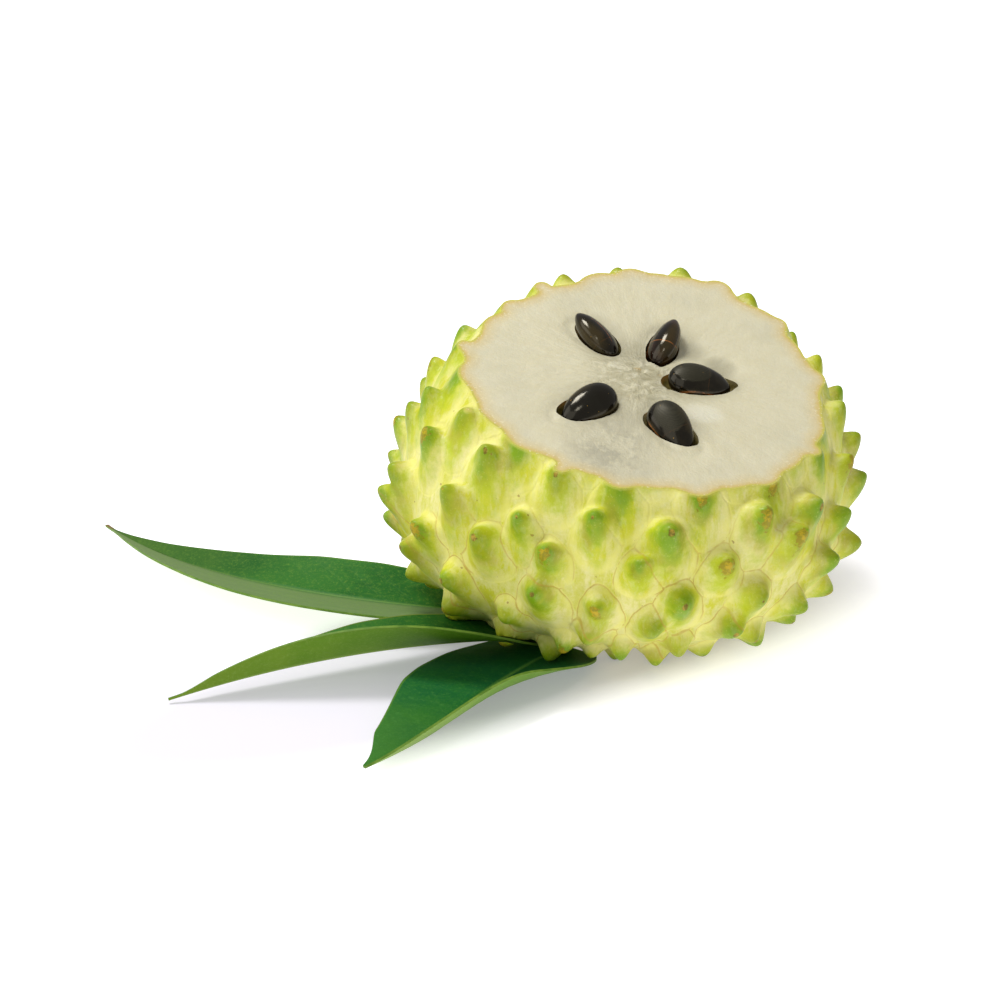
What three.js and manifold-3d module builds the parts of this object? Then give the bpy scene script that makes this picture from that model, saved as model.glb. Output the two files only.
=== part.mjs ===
// The stem-end half of a soursop, cut across and laid on its rounded end, with the five seeds that
// show in the cut face and three loose leaves that lie under it. Millimetres, +Z up. The origin is
// the middle of the small flat spot that the fruit rests on.
import * as THREE from 'three';
import { ConvexHull } from 'three/addons/math/ConvexHull.js';
import { mergeVertices } from 'three/addons/utils/BufferGeometryUtils.js';
import Module from 'manifold-3d';

const wasm = await Module();
wasm.setup();

const rad = THREE.MathUtils.degToRad;

// The fruit's body between its spines: a squarish ellipsoid of turning, flatter below than above.
const body = {
  radius: 60.8, // half width at the widest level
  widestAt: 36.5, // height of the widest level over the table
  below: 37.7, // half height under that level, a little more than its height: the flat spot
  above: 59.6, // half height over it, part of which is cut away
  squareness: 2.17, // 2 is a plain ellipsoid
  leanX: 1.1, // sideways drift of the upper part
  leanY: 1.5,
  leanSpan: 35, // height over the widest level at which the drift is that large
  lobes: [[1, 0.032, 22], [2, 0.038, 57], [3, 0.046, -44]], // count, share of radius, degrees
};

// The knife's cut: its middle, where the seeds' star is, and how it is turned from level.
const cut = { x: 3.2, y: -8.6, z: 74.0, tiltX: 16.5, tiltY: 6.5 };
const cutFrame = new THREE.Matrix4()
  .makeRotationFromEuler(new THREE.Euler(rad(cut.tiltX), rad(cut.tiltY), 0))
  .setPosition(cut.x, cut.y, cut.z);

// The spines stand in rows round the fruit. Each row starts half a step on from the one below.
const spines = {
  rowStep: 9.6, // along the skin, from row to row
  middleRow: 81.8, // distance along the skin from the bottom to the row at the widest level
  rowsBelow: 7,
  rowsAbove: 8,
  spacing: 21.4, // round the fruit, at the widest level
  perRow: 18, // in a full row; the small rows under the fruit have fewer
  phase: 12, // degrees
  turn: 8, // degrees from row to row
  shift: 2.4, // how far a spine strays from its place
  heights: [4.8, 7.0, 5.2], // at the bottom, at the widest level and at the cut
  spread: 0.14, // of their heights and feet, as a share
  leans: [2, 28, 42], // degrees towards the cut, at the same three places
  slimness: [0.78, 1, 1], // of the foot
  // a nub on a ridge that runs down the skin: their shares of the height, the reach of each one's
  // foot towards the cut, away from it and sideways, and the two powers of its flanks
  nub: { height: 0.56, up: 4.6, down: 6.6, side: 4.3, full: 2, fall: 1.6 },
  ridge: { height: 0.44, up: 5.4, down: 13.5, side: 6.6, full: 2.6, fall: 1.4 },
  pillow: 0.8, // how far the skin swells under a spine
  pillowReach: 1.15, // as a share of the ridge's foot
  overCut: [0.18, 0.6], // share of its height that a spine over the cut keeps, in front and behind
  cutFrom: -9, // depths under the cut between which the spines lose that height
  cutTo: 0,
  stubHeight: 3.2, // the short spines under the fruit
  stubsTo: 44, // distance along the skin from the bottom that they reach
  lowest: 52, // distance along the skin to the bottom row of full spines
  highest: 125, // and to the cut
  fillStep: 5.2, // between the loose points of the skin in the valleys
};

const seedSize = { length: 17.6, width: 10.8, thickness: 7.6, taper: -0.17, around: 14, along: 9 };
const pocketRoom = { end: 1.3, side: 0.35 }; // how much larger the pocket is than the seed

// Each seed lies on a spoke of the star: the spoke's angle and the seed's distance from the middle,
// its turn off the spoke, how far its outer end is raised, its roll and its depth under the cut.
const seeds = [
  { name: 'seed_1', spoke: 122.5, reach: 20.2, twist: 10, raise: 20, roll: 42, sink: 0.7 },
  { name: 'seed_2', spoke: 63.5, reach: 17.9, twist: 6, raise: 26, roll: -62, sink: 0.7 },
  { name: 'seed_3', spoke: 0, reach: 17.0, twist: 1, raise: -8, roll: 26, sink: 0.8 },
  { name: 'seed_4', spoke: -69.5, reach: 23.6, twist: 12, raise: -20, roll: 36, sink: 0.8 },
  { name: 'seed_5', spoke: -132, reach: 20.6, twist: -10, raise: -14, roll: -24, sink: 0.8 },
];

// A leaf: four points that draw its midrib from base to tip, its half width, the two powers of its
// outline, from where and by what share its tip is drawn out thinner, and the angles in degrees at
// which each half rises from the midrib at the base, the middle and the tip, with how much further
// each half curls up towards its margin.
const leafSize = { thickness: 0.8, along: 26, across: 4, fruitRoom: 0.35, endWidth: 0.5 };
const leaves = [
  {
    name: 'leaf_long',
    midrib: [[-29.6, -4.7, 1.2], [-64.3, -15.3, 8.3], [-120.6, 0.3, 6.7], [-153.8, 56.5, 3.4]],
    halfWidth: 17, basePower: 0.75, tipPower: 1.42, drawnFrom: 0.86, drawnBy: 0.3,
    near: [10, 12, 12], nearCurl: [2, 0, -2], far: [6, 19, 7], farCurl: 7,
  },
  {
    name: 'leaf_folded',
    midrib: [[-22.8, -25.7, 3.2], [-51.1, -42.6, 12.0], [-87.7, -50.3, 10.1], [-122.7, -59.5, 0.9]],
    halfWidth: 14, basePower: 0.58, tipPower: 1.24, drawnFrom: 0.86, drawnBy: 0.5,
    near: [2, 59, 77], nearCurl: [2, 11, 23], far: [4, 22, 8], farCurl: -5,
  },
  {
    name: 'leaf_broad',
    midrib: [[-15.3, -24.0, 1.0], [-51.6, -65.2, 0.4], [-38.2, -67.9, 1.8], [-68.7, -102.3, 3.0]],
    halfWidth: 19.8, basePower: 0.24, tipPower: 0.6, drawnFrom: 0.87, drawnBy: 0.6,
    near: [0, 45, 37], nearCurl: [4, 31, 10], far: [1, 27, 16], farCurl: -9,
  },
];

const finishes = {
  rind: { color: 0xd9e07a, roughness: 0.55, metalness: 0 },
  seed: { color: 0x17120f, roughness: 0.22, metalness: 0 },
  leaf: { color: 0x1f5a26, roughness: 0.42, metalness: 0 },
};

// Repeatable draws between -1 and 1.
function makeDraw(start) {
  let state = start;
  return () => {
    state = (state * 1664525 + 1013904223) % 4294967296;
    return (state / 4294967296) * 2 - 1;
  };
}

// A point of the body's skin. level runs from 0 at the bottom to pi at the top, around is the
// direction in radians.
function skinPoint(level, around) {
  const sine = Math.sin(level);
  const cosine = -Math.cos(level);
  const power = body.squareness;
  const stretch = (Math.abs(sine) ** power + Math.abs(cosine) ** power) ** (-1 / power);
  let uneven = 1;
  for (const [count, share, turn] of body.lobes) uneven += share * Math.cos(count * (around - rad(turn)));
  const radius = body.radius * sine * stretch * uneven;
  const rise = (cosine < 0 ? body.below : body.above) * cosine * stretch;
  const drift = (Math.max(rise, 0) / body.leanSpan) ** 2;
  return new THREE.Vector3(
    radius * Math.cos(around) + body.leanX * drift,
    radius * Math.sin(around) + body.leanY * drift,
    rise + body.widestAt,
  );
}

// The skin's own directions at a point: up along it, round the fruit and straight out.
function skinFrame(level, around) {
  const small = 1e-3;
  const up = skinPoint(level + small, around).sub(skinPoint(level - small, around));
  const round = skinPoint(level, around + small).sub(skinPoint(level, around - small));
  const perLevel = up.length() / (2 * small);
  const perAround = round.length() / (2 * small);
  up.normalize();
  round.normalize();
  return { up, round, out: round.clone().cross(up).normalize(), perLevel, perAround };
}

// The level at a distance along the skin from the bottom.
function levelAt(distance) {
  const steps = 600;
  let walked = 0;
  let last = skinPoint(0.001, 0);
  for (let i = 1; i < steps; i += 1) {
    const next = skinPoint((i / steps) * Math.PI, 0);
    walked += next.distanceTo(last);
    if (walked >= distance) return (i / steps) * Math.PI;
    last = next;
  }
  return Math.PI;
}

// Every spine: its place, its directions and how far its tip stands from its foot.
function placeSpines() {
  const draw = makeDraw(20);
  const placed = [];
  for (let row = -spines.rowsBelow; row <= spines.rowsAbove; row += 1) {
    const distance = spines.middleRow + row * spines.rowStep;
    const rowFrame = skinFrame(levelAt(distance), 0);
    const room = Math.round((2 * Math.PI * rowFrame.perAround) / (0.62 * spines.spacing));
    const count = Math.min(spines.perRow, room);
    for (let i = 0; i < count; i += 1) {
      const strayUp = spines.shift * draw();
      const strayRound = (spines.shift * 1.4 * draw()) / rowFrame.perAround;
      const around = rad(spines.phase + row * spines.turn + (i * 360) / count) + strayRound;
      placed.push(makeSpine(distance + strayUp, around, draw));
    }
  }
  return placed;
}

// A value that is given for the lowest row, the widest level and the cut, at a distance between.
function alongSkin([low, middle, high], distance) {
  const { lowest, middleRow, highest } = spines;
  if (distance < middleRow) {
    return THREE.MathUtils.lerp(low, middle, THREE.MathUtils.smoothstep(distance, lowest, middleRow));
  }
  return THREE.MathUtils.lerp(middle, high, THREE.MathUtils.smoothstep(distance, middleRow, highest));
}

// The spines are lower where the knife passes.
function heightAtCut(level, around) {
  const over = skinPoint(level, around).applyMatrix4(cutFrame.clone().invert()).z;
  const lost = THREE.MathUtils.smoothstep(over, spines.cutFrom, spines.cutTo);
  const [front, behind] = spines.overCut;
  const kept = THREE.MathUtils.lerp(front, behind, THREE.MathUtils.smoothstep(Math.sin(around), 0, 0.8));
  return THREE.MathUtils.lerp(1, kept, lost);
}

function makeSpine(distance, around, draw) {
  const level = levelAt(distance);
  const frame = skinFrame(level, around);
  const isStub = distance < spines.stubsTo;
  const lean = rad(alongSkin(spines.leans, distance) + 6 * draw());
  const full = isStub ? spines.stubHeight : alongSkin(spines.heights, distance);
  const size = 1 + spines.spread * draw();
  const tall = full * size * heightAtCut(level, around);
  const side = 0.09 * tall * draw();
  const slim = alongSkin(spines.slimness, distance) * size;
  const tip = frame.out.clone().multiplyScalar(tall * Math.cos(lean))
    .addScaledVector(frame.up, tall * Math.sin(lean))
    .addScaledVector(frame.round, side);
  return { level, around, frame, tip, slim, isStub };
}

// How far a point of the skin is from a spine's middle, as a share of the reach of one of its feet.
function footShare(spine, foot, level, around) {
  const turn = Math.atan2(Math.sin(around - spine.around), Math.cos(around - spine.around));
  const up = (level - spine.level) * spine.frame.perLevel;
  const side = turn * spine.frame.perAround;
  return Math.hypot(up / (up > 0 ? foot.up : foot.down), side / foot.side) / spine.slim;
}

// The nub's or the ridge's part of a spine's height, over its foot.
function raised(foot, share) {
  return share < 1 ? foot.height * (1 - share ** foot.full) ** foot.fall : 0;
}

function raisedPoint(level, around, placed) {
  const point = skinPoint(level, around);
  const out = skinFrame(level, around).out;
  let nearest = Infinity;
  for (const spine of placed) {
    if (Math.abs(level - spine.level) > 0.5) continue;
    const onNub = footShare(spine, spines.nub, level, around);
    const onRidge = footShare(spine, spines.ridge, level, around);
    nearest = Math.min(nearest, onRidge);
    point.addScaledVector(spine.tip, raised(spines.nub, onNub) + raised(spines.ridge, onRidge));
  }
  const swell = Math.max(0, 1 - (nearest / spines.pillowReach) ** 2);
  return point.addScaledVector(out, spines.pillow * swell);
}

// The places on the skin that its mesh needs: rings round each spine, and loose points in the
// valleys. Each is a level and a direction.
function meshPlaces(placed) {
  const { ridge } = spines;
  const rings = [[0, 1], [0.34, 6], [0.66, 7], [1, 8]];
  const stubRings = [[0, 1], [0.4, 5], [1, 6]];
  const places = [];
  const tooNear = (level, around, gap) => places.some((other) => {
    if (Math.abs(other.level - level) > 0.3) return false;
    const turn = Math.atan2(Math.sin(around - other.around), Math.cos(around - other.around));
    const side = turn * Math.sin(level) * body.radius;
    return Math.hypot(side, (level - other.level) * body.radius * 0.85) < gap;
  });
  const outermost = [];
  for (const spine of placed) {
    for (const [share, count] of spine.isStub ? stubRings : rings) {
      for (let i = 0; i < count; i += 1) {
        const angle = ((i + 0.5 * (share > 0.6)) / count) * 2 * Math.PI;
        const reach = Math.cos(angle) > 0 ? ridge.up : ridge.down;
        const wide = share * spine.slim;
        const level = spine.level + (wide * reach * Math.cos(angle)) / spine.frame.perLevel;
        const around = spine.around + (wide * ridge.side * Math.sin(angle)) / spine.frame.perAround;
        (share < 1 ? places : outermost).push({ level, around });
      }
    }
  }
  for (const place of outermost) {
    if (!tooNear(place.level, place.around, 2.3)) places.push(place);
  }
  const loose = spines.fillStep / body.radius;
  for (let level = loose; level < Math.PI; level += loose) {
    const count = Math.max(3, Math.round((2 * Math.PI * Math.sin(level)) / loose));
    for (let i = 0; i < count; i += 1) {
      const around = ((i + 0.37 * Math.round(level / loose)) / count) * 2 * Math.PI;
      if (!tooNear(level, around, 0.8 * spines.fillStep)) places.push({ level, around });
    }
  }
  return places;
}

// The whole spiny fruit as one closed skin: its places are joined as the hull of their directions.
function fruitSkin() {
  const placed = placeSpines();
  const places = meshPlaces(placed);
  const directions = places.map(({ level, around }) => new THREE.Vector3(
    Math.sin(level) * Math.cos(around),
    Math.sin(level) * Math.sin(around),
    -Math.cos(level),
  ));
  const order = new Map(directions.map((direction, i) => [direction, i]));
  const triangles = [];
  for (const face of new ConvexHull().setFromPoints(directions).faces) {
    for (let edge = face.edge, i = 0; i < 3; i += 1, edge = edge.next) {
      triangles.push(order.get(edge.head().point));
    }
  }
  const points = places.flatMap(({ level, around }) => raisedPoint(level, around, placed).toArray());
  const geometry = new THREE.BufferGeometry();
  geometry.setAttribute('position', new THREE.Float32BufferAttribute(points, 3));
  geometry.setIndex(triangles);
  return geometry;
}

// A seed, or with room its pocket: an egg along X whose outer end, towards +X, is the narrower.
function seedShape(end = 0, side = 0) {
  const geometry = new THREE.SphereGeometry(1, seedSize.around, seedSize.along);
  geometry.rotateZ(Math.PI / 2);
  const at = geometry.attributes.position;
  for (let i = 0; i < at.count; i += 1) {
    const along = at.getX(i);
    const swell = 1 + seedSize.taper * along;
    at.setXYZ(
      i,
      along * (seedSize.length / 2 + end),
      at.getY(i) * swell * (seedSize.width / 2 + side),
      at.getZ(i) * swell * (seedSize.thickness / 2 + side),
    );
  }
  return geometry;
}

// Where a seed lies in the cut face's own frame.
function seedPlace(seed) {
  const place = new THREE.Object3D();
  const spoke = rad(seed.spoke);
  place.position.set(seed.reach * Math.cos(spoke), seed.reach * Math.sin(spoke), -seed.sink);
  place.rotation.set(rad(seed.roll), -rad(seed.raise), rad(seed.spoke + seed.twist), 'ZYX');
  return place;
}

function mix(three, t) {
  return three[0] * (1 - t) ** 2 + three[1] * 2 * t * (1 - t) + three[2] * t ** 2;
}

// Half a leaf's width at t, from 0 at the base to 1 at the tip.
function leafReach(leaf, t) {
  const { basePower, tipPower } = leaf;
  const widest = basePower / (basePower + tipPower);
  const peak = widest ** basePower * (1 - widest) ** tipPower;
  const drawn = 1 - leaf.drawnBy * THREE.MathUtils.smoothstep(t, leaf.drawnFrom, 1);
  return (drawn * leaf.halfWidth * t ** basePower * (1 - t) ** tipPower) / peak;
}

// The row of points across a leaf at t, from its near margin over the midrib to its far margin.
function leafRow(leaf, t, extra) {
  const rib = new THREE.CubicBezierCurve3(...leaf.midrib.map((p) => new THREE.Vector3(...p)));
  const along = rib.getTangent(t);
  const far = new THREE.Vector3(along.y, -along.x, 0).normalize();
  const up = far.clone().cross(along);
  const reach = Math.max(leafReach(leaf, t), leafSize.endWidth) + extra;
  const row = [rib.getPoint(t)];
  for (const side of [-1, 1]) {
    const point = rib.getPoint(t);
    for (let i = 0; i < leafSize.across; i += 1) {
      const out = (i + 0.5) / leafSize.across;
      const angle = side < 0
        ? rad(mix(leaf.near, t) + mix(leaf.nearCurl, t) * out)
        : rad(mix(leaf.far, t) + leaf.farCurl * out);
      point.addScaledVector(far, (side * Math.cos(angle) * reach) / leafSize.across);
      point.addScaledVector(up, (Math.sin(angle) * reach) / leafSize.across);
      if (side < 0) row.unshift(point.clone());
      else row.push(point.clone());
    }
  }
  return row;
}

// A leaf as a thin closed blade, both faces split into triangles alike. room makes it larger on
// every side.
function leafShape(leaf, room = 0) {
  const rows = [];
  for (let i = 0; i <= leafSize.along; i += 1) {
    const t = THREE.MathUtils.lerp(0.012, 0.992, i / leafSize.along);
    rows.push(leafRow(leaf, t, room));
  }
  const last = rows.length - 1;
  const wide = rows[0].length;
  for (let j = 0; j < wide; j += 1) { // a little longer at the base too
    const back = rows[0][j].clone().sub(rows[1][j]).setLength(room);
    rows[0][j].add(back);
  }
  const points = [];
  for (const side of [1, -1]) {
    for (let i = 0; i <= last; i += 1) {
      for (let j = 0; j < wide; j += 1) {
        const ahead = rows[Math.min(i + 1, last)][j].clone().sub(rows[Math.max(i - 1, 0)][j]);
        const across = rows[i][Math.min(j + 1, wide - 1)].clone().sub(rows[i][Math.max(j - 1, 0)]);
        const normal = across.cross(ahead).normalize();
        points.push(rows[i][j].clone().addScaledVector(normal, side * (leafSize.thickness / 2 + room)));
      }
    }
  }
  const top = (i, j) => i * wide + j;
  const under = (i, j) => (last + 1) * wide + i * wide + j;
  const triangles = [];
  const quad = (a, b, c, d) => triangles.push(a, b, c, a, c, d);
  for (let i = 0; i < last; i += 1) {
    for (let j = 0; j < wide - 1; j += 1) {
      quad(top(i, j), top(i, j + 1), top(i + 1, j + 1), top(i + 1, j));
      triangles.push(under(i, j), under(i + 1, j + 1), under(i, j + 1));
      triangles.push(under(i, j), under(i + 1, j), under(i + 1, j + 1));
    }
    quad(top(i, 0), top(i + 1, 0), under(i + 1, 0), under(i, 0));
    quad(top(i + 1, wide - 1), top(i, wide - 1), under(i, wide - 1), under(i + 1, wide - 1));
  }
  for (let j = 0; j < wide - 1; j += 1) {
    quad(top(0, j + 1), top(0, j), under(0, j), under(0, j + 1));
    quad(top(last, j), top(last, j + 1), under(last, j + 1), under(last, j));
  }
  const geometry = new THREE.BufferGeometry();
  geometry.setAttribute('position', new THREE.Float32BufferAttribute(points.flatMap((p) => p.toArray()), 3));
  geometry.setIndex(triangles);
  return geometry;
}

// Closed geometry to a solid for cutting, and back.
function toSolid(geometry, matrix = new THREE.Matrix4()) {
  const bare = geometry.clone().applyMatrix4(matrix);
  bare.deleteAttribute('normal');
  bare.deleteAttribute('uv');
  const merged = mergeVertices(bare);
  return new wasm.Manifold(new wasm.Mesh({
    numProp: 3,
    vertProperties: merged.attributes.position.array,
    triVerts: new Uint32Array(merged.index.array),
  }));
}

function toGeometry(solid) {
  const mesh = solid.getMesh();
  const geometry = new THREE.BufferGeometry();
  geometry.setAttribute('position', new THREE.Float32BufferAttribute(mesh.vertProperties, 3));
  geometry.setIndex(new THREE.Uint32BufferAttribute(mesh.triVerts, 1));
  return geometry;
}

function boxSolid(width, height, position, matrix) {
  const box = new THREE.BoxGeometry(width, width, height).translate(...position);
  return toSolid(box, matrix);
}

// The fruit: spiny skin, less what the knife took, what lies under the table, the seeds' pockets
// and the room that the leaves under it need.
function fruitShape() {
  const offCut = 120;
  const tableDepth = 30;
  let solid = toSolid(fruitSkin());
  solid = solid.subtract(boxSolid(3 * offCut, offCut, [0, 0, offCut / 2], cutFrame));
  solid = solid.subtract(boxSolid(3 * offCut, tableDepth, [0, 0, -tableDepth / 2], new THREE.Matrix4()));
  const pocket = seedShape(pocketRoom.end, pocketRoom.side);
  for (const seed of seeds) {
    const place = seedPlace(seed);
    place.updateMatrix();
    solid = solid.subtract(toSolid(pocket, cutFrame.clone().multiply(place.matrix)));
  }
  for (const leaf of leaves) {
    solid = solid.subtract(toSolid(leafShape(leaf, leafSize.fruitRoom)));
  }
  const parts = solid.decompose().sort((a, b) => b.volume() - a.volume());
  return toGeometry(parts[0]);
}

function finished(name, geometry, finish) {
  geometry.computeVertexNormals();
  const mesh = new THREE.Mesh(geometry, new THREE.MeshStandardMaterial(finishes[finish]));
  mesh.name = name;
  return mesh;
}

function buildSoursop() {
  const soursop = new THREE.Group();
  const cutFace = new THREE.Group();
  cutFace.applyMatrix4(cutFrame);
  soursop.add(finished('fruit', fruitShape(), 'rind'), cutFace);
  for (const seed of seeds) {
    const place = seedPlace(seed);
    const mesh = finished(seed.name, seedShape(), 'seed');
    mesh.position.copy(place.position);
    mesh.rotation.copy(place.rotation);
    cutFace.add(mesh);
  }
  for (const leaf of leaves) soursop.add(finished(leaf.name, leafShape(leaf), 'leaf'));
  return soursop;
}

export default buildSoursop();
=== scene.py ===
import math

import bpy
import numpy as np
from mathutils import Matrix, Vector, noise
from mathutils.kdtree import KDTree


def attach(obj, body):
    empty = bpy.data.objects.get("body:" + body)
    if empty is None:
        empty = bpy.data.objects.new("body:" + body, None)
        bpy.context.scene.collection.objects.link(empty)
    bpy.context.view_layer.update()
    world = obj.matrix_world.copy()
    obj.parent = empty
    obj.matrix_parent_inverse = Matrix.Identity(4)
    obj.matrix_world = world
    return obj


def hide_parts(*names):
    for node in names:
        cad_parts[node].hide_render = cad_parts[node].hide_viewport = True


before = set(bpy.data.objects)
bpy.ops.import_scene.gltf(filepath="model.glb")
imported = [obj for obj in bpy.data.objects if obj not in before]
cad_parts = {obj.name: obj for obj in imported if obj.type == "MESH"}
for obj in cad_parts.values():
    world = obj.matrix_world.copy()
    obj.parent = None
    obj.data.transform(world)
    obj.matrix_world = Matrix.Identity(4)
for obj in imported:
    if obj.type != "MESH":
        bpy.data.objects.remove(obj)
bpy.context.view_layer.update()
mm = 0.001
print("frame loaded")


def joins(operation):
    # an operator between two numbers, as a math node
    return lambda first, second: first.math(operation, first, second)


class Wire:
    # a node's output that can stand in sums; any other node comes from node()
    def __init__(self, tree, socket=None):
        self.tree = tree
        self.socket = socket

    def node(self, kind, settings=None, values=None, output=0):
        made = self.tree.nodes.new(kind)
        for name, value in (settings or {}).items():
            setattr(made, name, value)
        for name, value in (values or {}).items():
            if isinstance(value, Wire):
                self.tree.links.new(value.socket, made.inputs[name])
            else:
                made.inputs[name].default_value = value
        return Wire(self.tree, made.outputs[output])

    def math(self, operation, *values):
        return self.node("ShaderNodeMath", {"operation": operation}, dict(enumerate(values)))

    __add__ = __radd__ = joins("ADD")
    __sub__ = joins("SUBTRACT")
    __mul__ = __rmul__ = joins("MULTIPLY")
    __truediv__ = joins("DIVIDE")
    __pow__ = joins("POWER")
    least = joins("MINIMUM")
    most = joins("MAXIMUM")

    def __rsub__(self, other):
        return self.math("SUBTRACT", other, self)

    def step(self, low, high, bottom=0.0, top=1.0):
        # from bottom to top, smoothly, as this goes from low to high
        values = {"Value": self, "From Min": low, "From Max": high, "To Min": bottom, "To Max": top}
        return self.node("ShaderNodeMapRange", {"interpolation_type": "SMOOTHSTEP"}, values)

    def blend(self, first, second):
        # mixes two colours, with this as the factor, kept between 0 and 1
        settings = {"data_type": "RGBA", "clamp_factor": True}
        return self.node("ShaderNodeMix", settings, {0: self, 6: first, 7: second}, 2)

    def vector(self, operation, other):
        return self.node("ShaderNodeVectorMath", {"operation": operation}, {0: self, 1: other})


def paint(red, green, blue):
    # a colour as a painter's 0 to 255 values
    def linear(value):
        share = value / 255
        return share / 12.92 if share <= 0.04045 else ((share + 0.055) / 1.055) ** 2.4
    return (linear(red), linear(green), linear(blue), 1.0)


def palette(**values):
    # a piece's values, of which those in threes are colours
    return {name: paint(*value) if isinstance(value, tuple) else value for name, value in values.items()}


class Coats:
    # a look's colours laid over one another, or mixtures, each by its own share
    def __init__(self, look, first):
        self.look = look
        self.colour = look[first]

    def lay(self, share, colour):
        self.colour = share.blend(self.colour, self.look.get(colour, colour))


def newMaterial(name, **constants):
    # with a wire of the places on its piece, from which other nodes can be started
    material = bpy.data.materials.new(name)
    material.use_nodes = True
    tree = material.node_tree
    shader = tree.nodes["Principled BSDF"]
    for socket, value in constants.items():
        shader.inputs[socket.replace("_", " ")].default_value = value
    return material, Wire(tree).node("ShaderNodeTexCoord", output=3), shader


def connect(shader, **links):
    for name, wire in links.items():
        wire.tree.links.new(wire.socket, shader.inputs[name.replace("_", " ")])


def attribute(place, name):
    return place.node("ShaderNodeAttribute", {"attribute_name": name}, output=2)


def grain(place, scale, detail=2.0, roughness=0.5, output=0, distortion=0.0):
    values = {"Vector": place, "Scale": scale, "Detail": detail, "Roughness": roughness,
              "Distortion": distortion}
    return place.node("ShaderNodeTexNoise", {}, values, output)


def stretched(place, scale, turn=0.0, location=(0.0, 0.0, 0.0), kind="POINT"):
    values = {"Vector": place, "Scale": scale, "Rotation": (0.0, 0.0, turn), "Location": location}
    return place.node("ShaderNodeMapping", {"vector_type": kind}, values)


def bump(height, strength, distance, normal=None):
    values = {"Height": height, "Strength": strength, "Distance": distance}
    if normal:
        values["Normal"] = normal
    return height.node("ShaderNodeBump", {}, values)


def alone(piece):
    bpy.ops.object.select_all(action="DESELECT")
    piece.select_set(True)
    bpy.context.view_layer.objects.active = piece


def added(name):
    piece = bpy.context.object
    piece.name = name
    piece.data.name = name
    return piece


def addBall(name, mesh):
    bpy.ops.mesh.primitive_uv_sphere_add(segments=mesh["around"], ring_count=mesh["rows"], radius=1)
    return added(name)


def places(piece):
    flat = np.empty(len(piece.data.vertices) * 3)
    piece.data.vertices.foreach_get("co", flat)
    return flat.reshape(-1, 3)


def move(piece, points):
    piece.data.vertices.foreach_set("co", np.asarray(points).ravel())
    piece.data.update()


def finishModifiers(piece):
    alone(piece)
    for modifier in list(piece.modifiers):
        bpy.ops.object.modifier_apply(modifier=modifier.name)


def takeAway(piece, cutters):
    # the cutters of one call don't meet each other
    alone(cutters[0])
    for other in cutters[1:]:
        other.select_set(True)
    bpy.ops.object.join()
    cutter = cutters[0]
    modifier = piece.modifiers.new("cut", "BOOLEAN")
    modifier.object = cutter
    modifier.operation = "DIFFERENCE"
    modifier.solver = "MANIFOLD"
    modifier.material_mode = "TRANSFER"
    finishModifiers(piece)
    bpy.data.objects.remove(cutter)


def outwardFaces(piece):
    alone(piece)
    bpy.ops.object.mode_set(mode="EDIT")
    bpy.ops.mesh.select_all(action="SELECT")
    bpy.ops.mesh.normals_make_consistent(inside=False)
    bpy.ops.object.mode_set(mode="OBJECT")


def thicken(piece, thickness, material=0, rimMaterial=0):
    # material numbers for the under side and the rim, counted on from the upper side's
    solid = piece.modifiers.new("blade", "SOLIDIFY")
    solid.thickness = thickness * mm
    solid.offset = 0
    solid.material_offset = material
    solid.material_offset_rim = rimMaterial
    finishModifiers(piece)
    outwardFaces(piece)


def inFrame(piece, matrix):
    piece.data.transform(matrix)
    piece.data.update()


def storeValues(piece, name, values):
    layer = piece.data.attributes.new(name, "FLOAT", "POINT")
    layer.data.foreach_set("value", np.asarray(values, dtype=np.float32))


def readNumbers(rows, name):
    # a whole number for each face, edge or corner
    numbers = np.empty(len(rows), dtype=int)
    rows.foreach_get(name, numbers)
    return numbers


def treeOf(points):
    tree = KDTree(len(points))
    for i, point in enumerate(points):
        tree.insert(point, i)
    tree.balance()
    return tree


def makeDraw(start):
    state = start

    def draw():
        nonlocal state
        state = (state * 1664525 + 1013904223) % 4294967296
        return state / 4294967296 * 2 - 1
    return draw


def unit(vectors):
    return vectors / np.linalg.norm(vectors, axis=-1, keepdims=True)


def smooth(values, low, high):
    share = np.clip((values - low) / (high - low), 0, 1)
    return share * share * (3 - 2 * share)


# the fruit's form between its spines, in millimetres and degrees
body = {
    "radius": 60.8, "widestAt": 36.5, "below": 37.7, "above": 59.6, "squareness": 2.17,
    "leanX": 1.1, "leanY": 1.5, "leanSpan": 35,
    "lobes": [(1, 0.032, 22), (2, 0.038, 57), (3, 0.046, -44)],
}

# the knife's plane
cut = {"x": 3.2, "y": -8.6, "z": 74.0, "tiltX": 16.5, "tiltY": 6.5}

cutFrame = (Matrix.Translation((cut["x"] * mm, cut["y"] * mm, cut["z"] * mm))
            @ Matrix.Rotation(math.radians(cut["tiltX"]), 4, "X")
            @ Matrix.Rotation(math.radians(cut["tiltY"]), 4, "Y"))
cutMiddle = np.array((cut["x"], cut["y"], cut["z"]))
cutNormal = np.array(cutFrame.col[2][:3])

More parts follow.
